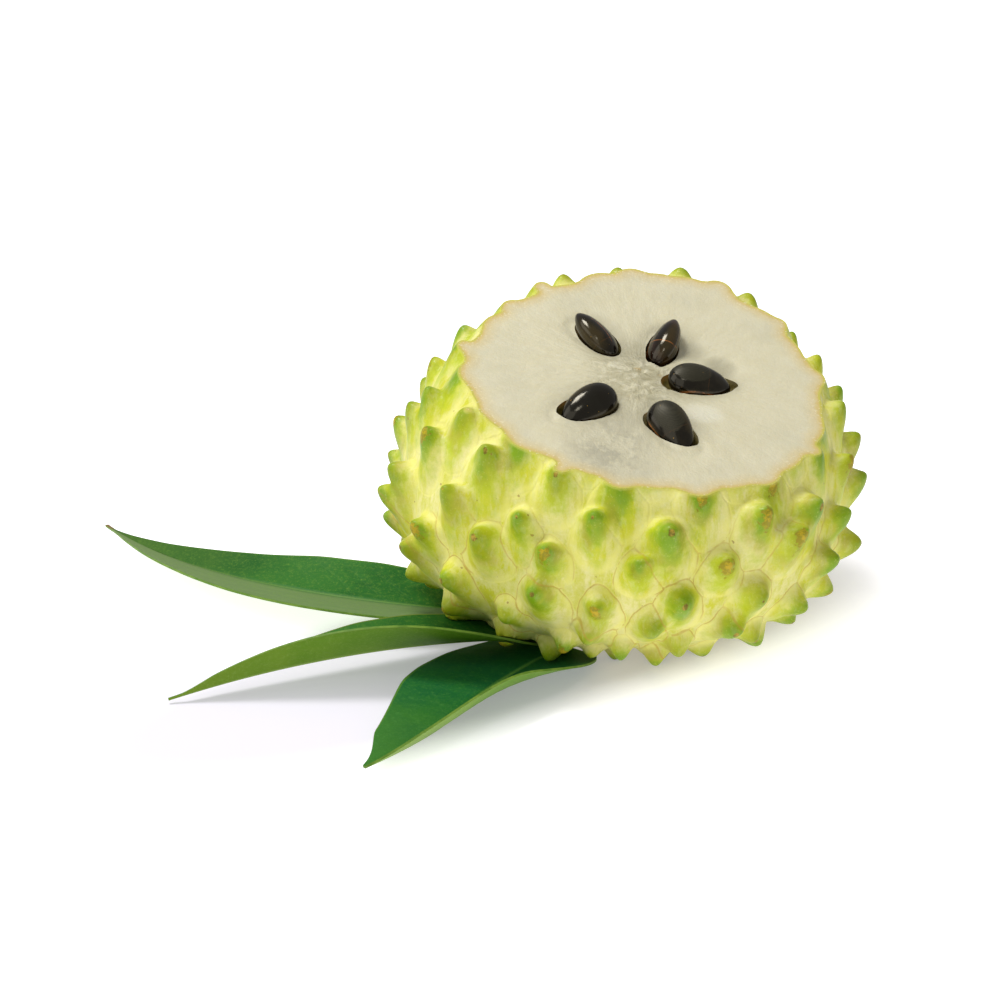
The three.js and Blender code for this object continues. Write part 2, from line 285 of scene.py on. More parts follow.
spines = {
    "rowStep": 9.6, "middleRow": 81.8, "rowsBelow": 7, "rowsAbove": 8, "spacing": 21.4,
    "closest": 0.62,      # of the spacing, in the rows underneath
    "perRow": 18, "phase": 12, "turn": 8, "shift": 2.4,
    "shiftRound": 1.4,    # more of it goes round the fruit
    "heights": (4.8, 7.0, 5.2), "spread": 0.14, "leans": (2, 28, 42), "slimness": (0.78, 1, 1),
    "leanSpread": 6,
    "sway": 0.09,         # of a spine's height, sideways
    "fineTips": 0.988,    # finer tips would reach further
    "pillow": 0.8, "pillowReach": 1.15,
    "overCut": (0.18, 0.6), "cutFrom": -9, "cutTo": 0,
    "behindFrom": 0.8,    # as the sine of where a spine stands
    "stubHeight": 3.2, "stubsTo": 44, "lowest": 52, "highest": 125,
    "reachUp": 0.5,       # radians up and down
    "reachRound": 22,     # millimetres to its sides
    "toneReach": 0.75,    # of its foot
    "leastWeight": 0.02,
}

# a nub on a ridge that runs down the skin
nub = {"height": 0.56, "up": 4.6, "down": 6.6, "side": 4.3, "full": 2, "fall": 1.6}
ridge = {"height": 0.44, "up": 5.4, "down": 13.5, "side": 6.6, "full": 2.6, "fall": 1.4}

# the scale that each spine stands in, with a thin line round it
scale = {
    "drop": 3.8,       # how far its middle lies under the spine
    "half": 10.2,      # half its height
    "width": 7.2,      # half its width
    "widening": 0.22,  # wider below by this share, and narrower above
}

skinMesh = {
    "around": 516,      # faces round the fruit
    "rows": 204,        # rings from the bottom to the top
    "keptShare": 0.93,  # of the rings that lie under the knife
    "keptLength": 148,  # of the skin, from the bottom
    "poleGap": 0.001,   # radians of level that the first ring keeps from each pole
}


def skinPoint(level, around):
    sine, cosine = np.sin(level), -np.cos(level)
    power = body["squareness"]
    stretch = (np.abs(sine) ** power + np.abs(cosine) ** power) ** (-1 / power)
    uneven = 1.0
    for count, share, turn in body["lobes"]:
        uneven = uneven + share * np.cos(count * (around - math.radians(turn)))
    radius = body["radius"] * sine * stretch * uneven
    rise = np.where(cosine < 0, body["below"], body["above"]) * cosine * stretch
    drift = (np.maximum(rise, 0) / body["leanSpan"]) ** 2
    return np.stack([
        radius * np.cos(around) + body["leanX"] * drift,
        radius * np.sin(around) + body["leanY"] * drift,
        rise + body["widestAt"],
    ], axis=-1)


def skinFrame(level, around):
    small = 1e-3
    up = skinPoint(level + small, around) - skinPoint(level - small, around)
    side = skinPoint(level, around + small) - skinPoint(level, around - small)
    perLevel = np.linalg.norm(up, axis=-1) / (2 * small)
    perAround = np.linalg.norm(side, axis=-1) / (2 * small)
    up, side = unit(up), unit(side)
    return up, side, unit(np.cross(side, up)), perLevel, perAround


def walkUp():
    # levels and how far along the skin from the bottom each is
    steps = 600
    levels = np.arange(steps) / steps * math.pi
    levels[0] = skinMesh["poleGap"]
    points = skinPoint(levels, np.zeros(steps))
    gaps = np.linalg.norm(np.diff(points, axis=0), axis=1)
    return levels, np.concatenate([[0], np.cumsum(gaps)])


levels, walked = walkUp()


def levelAt(distance):
    found = int(np.searchsorted(walked, distance))
    return levels[found] if found < len(levels) else math.pi


def alongSkin(three, distance):
    low, middle, high = three
    if distance < spines["middleRow"]:
        share = smooth(distance, spines["lowest"], spines["middleRow"])
        return low + (middle - low) * share
    share = smooth(distance, spines["middleRow"], spines["highest"])
    return middle + (high - middle) * share


def placeSpines():
    draw = makeDraw(20)
    placed = []
    for row in range(-spines["rowsBelow"], spines["rowsAbove"] + 1):
        distance = spines["middleRow"] + row * spines["rowStep"]
        perAround = float(skinFrame(levelAt(distance), 0.0)[4])
        room = math.floor(2 * math.pi * perAround / (spines["closest"] * spines["spacing"]) + 0.5)
        count = min(spines["perRow"], room)
        for i in range(count):
            strayUp = spines["shift"] * draw()
            strayRound = spines["shift"] * spines["shiftRound"] * draw() / perAround
            turn = spines["phase"] + row * spines["turn"] + i * 360 / count
            placed.append(makeSpine(distance + strayUp, math.radians(turn) + strayRound, draw))
    return placed


def heightAtCut(level, around):
    # the spines are lower where the knife passes
    over = float((skinPoint(level, around) - cutMiddle) @ cutNormal)
    lost = float(smooth(over, spines["cutFrom"], spines["cutTo"]))
    front, behind = spines["overCut"]
    kept = front + (behind - front) * float(smooth(np.sin(around), 0, spines["behindFrom"]))
    return 1 + (kept - 1) * lost


def makeSpine(distance, around, draw):
    level = levelAt(distance)
    up, side, out, perLevel, perAround = skinFrame(level, around)
    isStub = distance < spines["stubsTo"]
    lean = math.radians(alongSkin(spines["leans"], distance) + spines["leanSpread"] * draw())
    full = spines["stubHeight"] if isStub else alongSkin(spines["heights"], distance)
    larger = 1 + spines["spread"] * draw()
    tall = spines["fineTips"] * full * larger * heightAtCut(level, around)
    sway = spines["sway"] * tall * draw()
    tip = out * tall * math.cos(lean) + up * tall * math.sin(lean) + side * sway
    slim = alongSkin(spines["slimness"], distance) * larger
    return {"level": level, "around": around, "perLevel": float(perLevel) / slim,
            "perAround": float(perAround) / slim, "tip": tip}


def besideSpine(spine, level, around):
    # how far points lie to the side of a spine and over it, for a foot of full size
    turn = around - spine["around"]
    return (np.arctan2(np.sin(turn), np.cos(turn)) * spine["perAround"],
            (level - spine["level"]) * spine["perLevel"])


def footShare(foot, side, up):
    return np.hypot(up / np.where(up > 0, foot["up"], foot["down"]), side / foot["side"])


def raised(foot, share):
    return foot["height"] * (1 - np.minimum(share, 1) ** foot["full"]) ** foot["fall"]


def scaleShare(side, up):
    # 1 on the line round a spine's scale, for numbers as for wires
    along = (up + scale["drop"]) / scale["half"]
    across = side / ((1 - along * scale["widening"]) * scale["width"])
    return (across * across + along * along) ** 0.5


spineList = placeSpines()


def raiseSkin(level, around):
    # the spiny skin's points, with a tone and a scar that each spine passes to those round it
    points = skinPoint(level, around)
    out = skinFrame(level, around)[2]
    nearest = np.full(len(level), 9.0)
    tones, scars, weights = np.zeros((3, len(level)))
    draw = makeDraw(7)
    for spine in spineList:
        scar, tone = draw(), draw()
        near = np.nonzero(np.abs(level - spine["level"]) < spines["reachUp"])[0]
        side, up = besideSpine(spine, level[near], around[near])
        close = np.abs(side) < spines["reachRound"]
        near, side, up = near[close], side[close], up[close]
        onNub, onRidge = footShare(nub, side, up), footShare(ridge, side, up)
        nearest[near] = np.minimum(nearest[near], onRidge)
        points[near] += (raised(nub, onNub) + raised(ridge, onRidge))[:, None] * spine["tip"]
        weight = np.exp(-(onRidge / spines["toneReach"]) ** 2)
        tones[near] += weight * tone
        scars[near] += weight * scar
        weights[near] += weight
    swell = np.maximum(0, 1 - (nearest / spines["pillowReach"]) ** 2)
    points += (spines["pillow"] * swell)[:, None] * out
    settled = np.maximum(weights, spines["leastWeight"])
    return points, {"tone": tones / settled, "scar": scars / settled,
                    "height": np.interp(level, levels, walked), "level": level, "around": around}


def makeSkin():
    piece = addBall("soursop_fruit", skinMesh)
    start = places(piece)
    around = np.arctan2(start[:, 1], start[:, 0])
    share = np.arccos(np.clip(-start[:, 2], -1, 1)) / math.pi
    kept = skinMesh["keptShare"]
    walk = np.interp(share, [0, kept, 1], [0, skinMesh["keptLength"], walked[-1]])
    gap = skinMesh["poleGap"]
    level = np.clip(np.interp(walk, walked, levels), gap, math.pi - gap)
    level[share == share.min()] = gap / 2
    level[share == share.max()] = math.pi - gap / 2
    points, facts = raiseSkin(level, around)
    move(piece, points * mm)
    return piece, points * mm, facts


seedSize = {
    "length": 17.6, "width": 10.8, "thickness": 7.6, "taper": -0.17,
    "point": 0.10, "pointFrom": 0.6,    # how much the narrow end is drawn in, and from where
    "keel": 0.012, "keelWidth": 0.16,
}

seedMesh = {"around": 72, "rows": 48}

# where each seed lies in the cut face, and its pocket's room at its two ends and its sides
seeds = {
    "seed_1": {"spoke": 122.5, "reach": 20.2, "twist": 10, "raise": 20, "roll": 42, "sink": 0.7,
               "outer": 1.0, "inner": 0.8, "side": 0.45},
    "seed_2": {"spoke": 63.5, "reach": 17.9, "twist": 6, "raise": 26, "roll": -62, "sink": 0.7,
               "outer": 0.8, "inner": 2.6, "side": 0.5},
    "seed_3": {"spoke": 0, "reach": 17.0, "twist": 1, "raise": -8, "roll": 26, "sink": 0.8,
               "outer": 3.2, "inner": 2.2, "side": 0.6},
    "seed_4": {"spoke": -69.5, "reach": 23.6, "twist": 12, "raise": -20, "roll": 36, "sink": 0.8,
               "outer": 3.6, "inner": 2.0, "side": 0.6},
    "seed_5": {"spoke": -132, "reach": 20.6, "twist": -10, "raise": -14, "roll": -24, "sink": 0.8,
               "outer": 4.0, "inner": 0.8, "side": 0.5},
}

pocketMesh = {"around": 56, "rows": 40}
pinch = {"share": 0.35, "from": 0.55, "fullRoom": 4}  # a pocket's outer end, by its room there
ragged = {"depth": 0.25, "along": 3, "across": 2.5}


def seedFrame(seed):
    spoke = math.radians(seed["spoke"])
    place = Matrix.Translation((
        seed["reach"] * math.cos(spoke) * mm, seed["reach"] * math.sin(spoke) * mm, -seed["sink"] * mm))
    turn = (Matrix.Rotation(spoke + math.radians(seed["twist"]), 4, "Z")
            @ Matrix.Rotation(-math.radians(seed["raise"]), 4, "Y")
            @ Matrix.Rotation(math.radians(seed["roll"]), 4, "X"))
    return cutFrame @ place @ turn


def makeSeed():
    # an egg along X, its narrow end outwards, with a low keel round its edge
    piece = addBall("seed_master", seedMesh)
    points = places(piece)[:, [2, 1, 0]]
    along, across, thick = points.T
    swell = 1 + seedSize["taper"] * along
    point = 1 - seedSize["point"] * smooth(along, seedSize["pointFrom"], 1)
    keel = seedSize["keel"] * np.exp(-(thick / seedSize["keelWidth"]) ** 2) * (1 - along ** 2)
    shaped = np.stack([
        along * seedSize["length"] / 2,
        across * swell * point * seedSize["width"] / 2 * (1 + keel),
        thick * swell * point * seedSize["thickness"] / 2,
    ], axis=1)
    move(piece, shaped * mm)
    uv = piece.data.uv_layers[0].data
    for loop in piece.data.loops:
        co = points[loop.vertex_index]
        uv[loop.index].uv = (0.5 + 0.5 * co[0], 0.5 + 0.5 * co[1])
    outwardFaces(piece)
    alone(piece)
    bpy.ops.object.shade_smooth()
    return piece


def copySeed(master, name, seed):
    piece = master.copy()
    piece.data = master.data.copy()
    piece.name = "soursop_" + name
    piece.data.name = piece.name
    bpy.context.collection.objects.link(piece)
    inFrame(piece, seedFrame(seed))
    return piece


def makePocket(name, material):
    seed = seeds[name]
    piece = addBall("pocket_" + name, pocketMesh)
    along, across, thick = places(piece)[:, [2, 1, 0]].T
    half = seedSize["length"] / 2
    swell = 1 + seedSize["taper"] * along
    roomy = min(1, seed["outer"] / pinch["fullRoom"])
    pinched = 1 - pinch["share"] * smooth(along, pinch["from"], 1) * roomy
    spots = [Vector((a * ragged["along"], b * ragged["across"], c * ragged["across"] + seed["spoke"]))
             for a, b, c in zip(along, across, thick)]
    wall = seed["side"] + ragged["depth"] * np.array([noise.noise(spot) for spot in spots])
    shaped = np.stack([
        along * half + np.where(along > 0, seed["outer"], seed["inner"]) * along,
        across * (swell * pinched * seedSize["width"] / 2 + wall),
        thick * (swell * pinched * seedSize["thickness"] / 2 + wall),
    ], axis=1)
    move(piece, shaped * mm)
    inFrame(piece, seedFrame(seed))
    piece.data.materials.append(material)
    outwardFaces(piece)
    return piece


knife = {"size": 148, "step": 0.82, "height": 70, "reliefReach": 66}

# depths of the flesh's relief under the knife's plane, and how far some of them reach
relief = {
    "drag": 0.16, "fibres": 0.12, "rough": 0.05,
    "core": 1.05, "coreReach": 11,
    "torn": 0.5, "tornAt": (-9, -32), "tornReach": (90, 200),  # reaches squared
    "lip": 0.38, "lipReach": 1.3,                              # rounds the pockets' edges
    "dip": 0.25, "dipReach": 5,
}

# soft hollows in the cut face, also darkened as painted shade in the flesh's colour: their middle, reach
# and depth, in millimetres on the knife's plane
hollows = [(15, 15, 5, 1.0), (23, 9, 5, 1.1), (-1, 12, 6, 0.7), (-3, -18, 5, 0.5), (5, -10, 4, 0.5)]


def fleshRelief(x, y, pocketTree):
    # how far the flesh lies under the knife's plane, in millimetres
    place = Vector((x, y, 0))
    fromStar = math.hypot(x, y)
    spoke = math.atan2(y, x)
    drag = relief["drag"] * (1 + noise.noise(place * 0.035 + Vector((3, 1, 7))))
    fibres = relief["fibres"] * (0.5 + 0.5 * noise.noise(Vector((spoke * 7, fromStar * 0.09, 2))))
    core = relief["core"] * math.exp(-(fromStar / relief["coreReach"]) ** 2)
    (tornX, tornY), (reachX, reachY) = relief["tornAt"], relief["tornReach"]
    torn = relief["torn"] * math.exp(-((x - tornX) ** 2 / reachX + (y - tornY) ** 2 / reachY))
    hollow = sum(deep * math.exp(-((x - atX) ** 2 + (y - atY) ** 2) / wide ** 2)
                 for atX, atY, wide, deep in hollows)
    rough = abs(noise.noise(place * 0.55 + Vector((0, 9, 4)))) + 0.5 * abs(noise.noise(place * 1.2))
    away = pocketTree.find(place)[2]
    lip = relief["lip"] * math.exp(-(away / relief["lipReach"]) ** 2)
    dip = relief["dip"] * math.exp(-(away / relief["dipReach"]) ** 2)
    return drag + fibres + (core + torn + relief["rough"]) * rough + lip + dip + hollow


def pocketOutlines():
    # points in the cut plane where the seeds and their pockets pass through it
    points = []
    for seed in seeds.values():
        turn = math.radians(seed["spoke"] + seed["twist"])
        for i in range(64):
            angle = i / 64 * 2 * math.pi
            long = seedSize["length"] / 2 + seed["outer" if math.cos(angle) > 0 else "inner"]
            wide = seedSize["width"] / 2 * (0.9 + 0.1 * math.cos(angle))
            x, y = 0.96 * long * math.cos(angle), wide * math.sin(angle)
            middle = math.radians(seed["spoke"])
            points.append(Vector((
                seed["reach"] * math.cos(middle) + x * math.cos(turn) - y * math.sin(turn),
                seed["reach"] * math.sin(middle) + x * math.sin(turn) + y * math.cos(turn), 0)))
    return points


def makeKnife(material):
    count = round(knife["size"] / knife["step"])
    bpy.ops.mesh.primitive_grid_add(x_subdivisions=count, y_subdivisions=count, size=knife["size"] * mm)
    piece = added("knife")
    outline = treeOf(pocketOutlines())
    points = places(piece)
    for point in points:
        x, y = point[:2] / mm
        if math.hypot(x, y) < knife["reliefReach"]:
            point[2] = -fleshRelief(x, y, outline) * mm
    move(piece, points)
    piece.data.materials.append(material)
    alone(piece)
    bpy.ops.object.mode_set(mode="EDIT")
    bpy.ops.mesh.select_all(action="SELECT")
    bpy.ops.mesh.extrude_region_move(TRANSFORM_OT_translate={"value": (0, 0, knife["height"] * mm)})
    bpy.ops.object.mode_set(mode="OBJECT")
    outwardFaces(piece)
    inFrame(piece, cutFrame)
    return piece


def makeTable(material):
    # what the fruit would sink into the table, for its flat spot
    bpy.ops.mesh.primitive_cube_add(size=1, location=(0, 0, -0.015), scale=(0.2, 0.2, 0.03))
    piece = added("table")
    alone(piece)
    bpy.ops.object.transform_apply()
    piece.data.materials.append(material)
    return piece


leafMesh = {
    "along": 130, "across": 20, "thickness": 0.62, "endWidth": 0.5,
    "start": 0.012, "reach": 0.979,      # of the midrib that the blade covers
    "room": 1.5, "roomAtMargin": 0.35,   # what the fruit leaves free for a blade
    "groove": 0.35,                      # along the midrib
    "veins": 15, "veinDepth": 0.10, "veinBend": 1.6,
}

leaves = {
    "leaf_long": {
        "midrib": [(-29.6, -4.7, 1.2), (-64.3, -15.3, 8.3), (-120.6, 0.3, 6.7), (-153.8, 56.5, 3.4)],
        "halfWidth": 17, "basePower": 0.75, "tipPower": 1.42, "drawnFrom": 0.86, "drawnBy": 0.3,
        "near": (10, 12, 12), "nearCurl": (2, 0, -2), "far": (6, 19, 7), "farCurl": 7,
        "wave": 0.35,
    },
    "leaf_folded": {
        "midrib": [(-22.8, -25.7, 3.2), (-51.1, -42.6, 12.0), (-87.7, -50.3, 10.1), (-122.7, -59.5, 0.9)],
        "halfWidth": 14, "basePower": 0.58, "tipPower": 1.24, "drawnFrom": 0.86, "drawnBy": 0.5,
        "near": (2, 59, 77), "nearCurl": (2, 11, 23), "far": (4, 22, 8), "farCurl": -5,
        "wave": 0.25,
    },
    "leaf_broad": {
        "midrib": [(-15.3, -24.0, 1.0), (-51.6, -65.2, 0.4), (-38.2, -67.9, 1.8), (-68.7, -102.3, 3.0)],
        "halfWidth": 19.8, "basePower": 0.24, "tipPower": 0.6, "drawnFrom": 0.87, "drawnBy": 0.6,
        "near": (0, 45, 37), "nearCurl": (4, 31, 10), "far": (1, 27, 16), "farCurl": -9,
        "wave": 0.3,
    },
}


def mixThree(three, t):
    return three[0] * (1 - t) ** 2 + three[1] * 2 * t * (1 - t) + three[2] * t ** 2


def ribPoint(leaf, t):
    a, b, c, d = (np.array(p) for p in leaf["midrib"])
    back = 1 - t
    place = a * back ** 3 + 3 * b * back ** 2 * t + 3 * c * back * t ** 2 + d * t ** 3
    along = (b - a) * back ** 2 + 2 * (c - b) * back * t + (d - c) * t ** 2
    return place, unit(along)


def leafReach(leaf, t):
    base, tip = leaf["basePower"], leaf["tipPower"]
    widest = base / (base + tip)
    peak = widest ** base * (1 - widest) ** tip
    drawn = 1 - leaf["drawnBy"] * float(smooth(t, leaf["drawnFrom"], 1))
    return drawn * leaf["halfWidth"] * t ** base * (1 - t) ** tip / peak


def leafRow(leaf, t, extra):
    # near margin over the midrib to the far margin
    place, along = ribPoint(leaf, t)
    far = unit(np.array([along[1], -along[0], 0]))
    up = np.cross(far, along)
    reach = max(leafReach(leaf, t), leafMesh["endWidth"]) + extra
    steps = leafMesh["across"]
    groove = 0 if extra else leafMesh["groove"] * math.sin(math.pi * min(1, t * 1.02)) ** 0.5
    row = [place - up * groove]
    for side in (-1, 1):
        point = place.copy()
        for i in range(steps):
            out = (i + 0.5) / steps
            if side < 0:
                angle = math.radians(mixThree(leaf["near"], t) + mixThree(leaf["nearCurl"], t) * out)
            else:
                angle = math.radians(mixThree(leaf["far"], t) + leaf["farCurl"] * out)
            point = point + far * side * math.cos(angle) * reach / steps
            point = point + up * math.sin(angle) * reach / steps
            lifted = point + up * (0 if extra else leafRipple(leaf, t, side, (i + 1) / steps))
            row.insert(0 if side < 0 else len(row), lifted)
    return row


def leafRipple(leaf, t, side, edge):
    # a wave towards the margin, and low furrows along the side veins
    wave = leaf["wave"] * edge ** 2 * noise.noise(Vector((t * 9, side * 5, 0.4)))
    vein = math.cos(2 * math.pi * (t * leafMesh["veins"] - edge * leafMesh["veinBend"]))
    return wave - leafMesh["veinDepth"] * edge * (1 - edge) * vein


def makeLeafSheet(name, extra=0.0):
    leaf = leaves[name]
    along, across = leafMesh["along"], 2 * leafMesh["across"]
    bpy.ops.mesh.primitive_grid_add(x_subdivisions=across, y_subdivisions=along, size=2)
    piece = added("soursop_" + name)
    start = places(piece)
    columns = np.rint((start[:, 0] + 1) / 2 * across).astype(int)
    rows = np.rint((start[:, 1] + 1) / 2 * along).astype(int)
    formed = np.array([leafRow(leaf, leafMesh["start"] + leafMesh["reach"] * i / along, extra)
                       for i in range(along + 1)])
    formed[0] += unit(formed[0] - formed[1]) * extra
    move(piece, formed[rows, columns] * mm)
    return piece


def makeLeaf(name, upper, under, margin):
    piece = makeLeafSheet(name)
    for material in (upper, under, margin):
        piece.data.materials.append(material)
    thicken(piece, leafMesh["thickness"], 1, 2)
    alone(piece)
    bpy.ops.object.shade_smooth_by_angle(angle=math.radians(50))
    return piece


def makeLeafRoom(name, material):
    piece = makeLeafSheet(name, leafMesh["roomAtMargin"])
    piece.data.materials.append(material)
    thicken(piece, leafMesh["room"])
    return piece


def parted(vector):
    # a vector's first two numbers
    first = vector.node("ShaderNodeSeparateXYZ", {}, {0: vector})
    return first, Wire(first.tree, first.socket.node.outputs[1])


def size(wire):
    return wire.math("ABSOLUTE", wire)


def uvMap(place, name):
    return place.node("ShaderNodeUVMap", {"uv_map": name})


skinLook = palette(
    # low is painted shade, laid over the lower skin to darken it
    cream=(232, 226, 154), lime=(204, 204, 50), low=(174, 174, 58),
    trail=(180, 194, 20), ring=(236, 231, 128),
    olive=(166, 172, 20), leafGreen=(126, 160, 8), deepGreen=(104, 144, 6),
    tan=(178, 154, 84), wax=(218, 222, 164), dots=(234, 234, 132),
    line=(188, 152, 56), speck=(140, 104, 40), knifeLine=(204, 200, 92),
    brown=(112, 70, 20), paleBrown=(196, 148, 62),
    ochre=(150, 128, 22), paleOchre=(204, 166, 30),
    dotFrom=0.60, speckFrom=0.86,
)


def skinMaterial(look):
    material, place, shader = newMaterial(
        "soursop_skin", Subsurface_Weight=0.06, Subsurface_Scale=0.003,
        Subsurface_Radius=(0.8, 1, 0.2), Coat_Roughness=0.12, Specular_IOR_Level=0.22)
    height, tone, scar, rim = (attribute(place, name) for name in ("height", "tone", "scar", "rim"))
    broad = grain(place, 34, 3)
    cloudy = grain(place, 130, 4, 0.6)
    fine = grain(place, 480, 4, 0.65)
    finest = grain(place, 1700, 2, 0.6)
    crust = grain(place, 700, 3, 0.7)
    # how far to the side of its spine and over it each point lies, in millimetres, a little astray
    stray = grain(place, 100, 2, output=1).vector("SUBTRACT", (0.5, 0.5, 0.5)).vector("MULTIPLY", (3, 3, 3))
    beside = [parted(uvMap(place, name).vector("ADD", stray)) for name in ("nearest", "next")]
    shares = [scaleShare(*spot) for spot in beside]
    inner, outer = shares[0].least(shares[1]), shares[0].most(shares[1])
    # millimetres from the line round a scale, or from where two scales meet
    seam = (size(inner - 1) * 8).least((outer - inner) * 4 + inner.step(0.97, 1.04) * 9)

    def patch(above, below, wide):
        # 0 at a spine's tip and 1 on the outline of a patch round it
        found = []
        for side, up in beside:
            over, under, across = up.most(0) / above, up.least(0) / below, side / wide
            found.append((over * over + under * under + across * across) ** 0.5)
        return found[0].least(found[1])

    onTip, onNub, onTrail = patch(1.2, 1.4, 1), patch(3.4, 7.6, 3.6), patch(4.2, 13, 5.4)
    mottled = (cloudy - 0.5) * 0.9 + (fine - 0.5) * 0.7

    # valleys: cream and lime in soft patches that run up the fruit, creamier low down
    streaks = grain(stretched(place, (1, 1, 0.22)), 190, 5, 0.7)
    low = height.step(50, 84, 0.20, 0)
    limy = broad.step(0.38, 0.66) * 0.45 + streaks.step(0.44, 0.60) * 0.6 + (fine - 0.5) - low
    limy = limy + (finest - 0.5) * 0.8 + 0.06
    coats = Coats(look, "cream")
    coats.lay(limy, "lime")
    # painted shade, darker towards the bottom of the fruit; and a lime patch runs down each scale, under
    # its green nub
    coats.lay(height.step(76, 30) * 0.55, "low")
    coats.lay((onTrail + mottled * 1.3).step(1.15, 0.4) * 0.92, "trail")
    # a cream ring inside the line
    ring = inner.step(0.66, 0.90) * inner.step(1.10, 1) * onTrail.step(0.8, 1.2)
    coats.lay(ring * (0.55 + (fine - 0.5) * 0.8), "ring")
    # the nub: green round the tip, deeper in its middle, fading out down the scale
    hue = (cloudy - 0.5 + tone * 0.16 + 0.5).step(0.36, 0.64)
    green = (onNub + mottled * 0.7 - tone * 0.14).step(1.15, 0.45)
    coats.lay(green * 0.96, hue.blend(look["olive"], look["leafGreen"]))
    deep = (onNub + (fine - 0.5) * 0.7).step(0.75, 0.15)
    coats.lay(deep * 0.5, "deepGreen")
    # tan along the upper edge of some nubs, pale wax and dots all over
    tan = onNub.step(1.5, 1) * onNub.step(0.5, 0.9) * grain(place, 75, 2).step(0.52, 0.64)
    coats.lay(tan * 0.35, "tan")
    wax = grain(stretched(place, (1, 1, 0.4)), 420, 4, 0.65).step(0.52, 0.66)
    coats.lay(wax * (0.22 - green * 0.12), "wax")
    dots = finest.step(look["dotFrom"], look["dotFrom"] + 0.12)
    coats.lay(dots * 0.22, "dots")
    # thin tan lines, broken, and open where a scale runs out below
    closed, alsoClosed = (up.step(-10, -5) for side, up in beside)
    closed = closed.most(alsoClosed * outer.step(1.15, 1.02))
    shown = grain(place, 42, 2).step(0.36, 0.52) * height.step(100, 74, 0.08, 1) * closed
    line = seam.step(0.28, 0.06) * shown
    coats.lay(line * (fine * 1.3 - 0.12), "line")
    # a dry brown tip on many spines, ochre cracks on others, and loose specks
    brown = (onTip + (crust - 0.5) * 1.2 + scar.step(-0.8, 0.1) * 0.6).step(0.85, 0.55)
    brown = brown * scar.step(0.15, -0.05)
    coats.lay(brown * 0.7, crust.step(0.4, 0.6).blend(look["brown"], look["paleBrown"]))
    ochre = (onNub + (crust - 0.5) * 1.5).step(0.50, 0.36) * scar.step(0.42, 0.58)
    coats.lay(ochre * 0.75, crust.step(0.42, 0.58).blend(look["ochre"], look["paleOchre"]))
    specks = grain(place, 700, 0).step(look["speckFrom"], look["speckFrom"] + 0.03)
    coats.lay(specks * 0.6, "speck")
    # bright line where the knife went through
    coats.lay(rim.step(0.0008, 0.0002) * 0.5, "knifeLine")
    roughness = 0.42 + cloudy * 0.16 + ochre * 0.2 + wax * 0.08
    pores = inner.step(1.06, 0.90) * 0.5 * closed + fine * 0.42 + finest * 0.12 + cloudy * 0.7
    normal = bump(pores, 0.32, 0.0010)
    normal = bump(seam.step(0, 0.5), 0.25, 0.0003, normal)
    normal = bump(0 - ochre * crust - brown, 0.5, 0.0005, normal)
    coat = green * 0.12 * (1 - brown) + 0.05
    connect(shader, Base_Color=coats.colour, Roughness=roughness, Coat_Weight=coat, Normal=normal)
    return material


fleshLook = palette(
    pale=(218, 211, 180), plain=(210, 201, 163), cloud=(200, 195, 168),
    # gap is painted shade, between the threads at the core
    core=(176, 168, 132), thread=(228, 221, 192), gap=(150, 138, 100),
    # painted shade: the two colours after fleck, round the seeds and in the soft hollows
    fleck=(200, 164, 92), wet=(164, 157, 128), hollow=(146, 141, 116),
    # painted highlight: the colour after torn, a glint between two seeds
    torn=(168, 163, 142), smear=(232, 228, 206),
    tan=(216, 194, 134), rindTan=(210, 184, 98), rindLine=(200, 192, 86),
    speck=(240, 230, 200),
)


